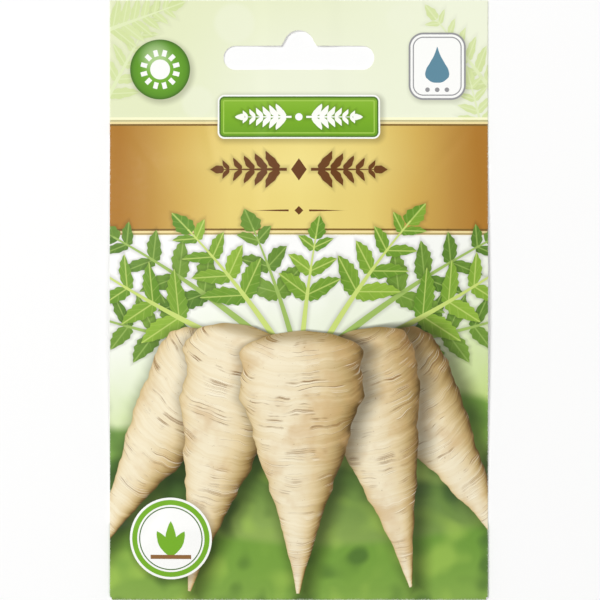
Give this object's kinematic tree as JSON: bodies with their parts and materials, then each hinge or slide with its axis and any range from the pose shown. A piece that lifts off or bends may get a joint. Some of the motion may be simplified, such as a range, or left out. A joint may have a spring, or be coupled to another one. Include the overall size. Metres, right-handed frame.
{
  "type": "seed packet",
  "caption": "Flat folded paper packet of seeds with a printed front, a lapped back seam, a folded bottom flap and a punched hang hole in its header.",
  "frame": {"origin": "on the table, under the middle of the packet lying on its back", "axes": "+X across the packet, +Y from the bottom fold up to the header with the hang hole, +Z out of the printed front"},
  "size_m": [0.082, 0.13, 0.0058],
  "materials": {
    "printed_paper": "satin",
    "sachet_foil": "satin",
    "seed_husk": "matte"
  },
  "bodies": {
    "root": {"packet_paper": "printed_paper", "inner_sachet": "sachet_foil", "seeds": "seed_husk"}
  },
  "joints": []
}
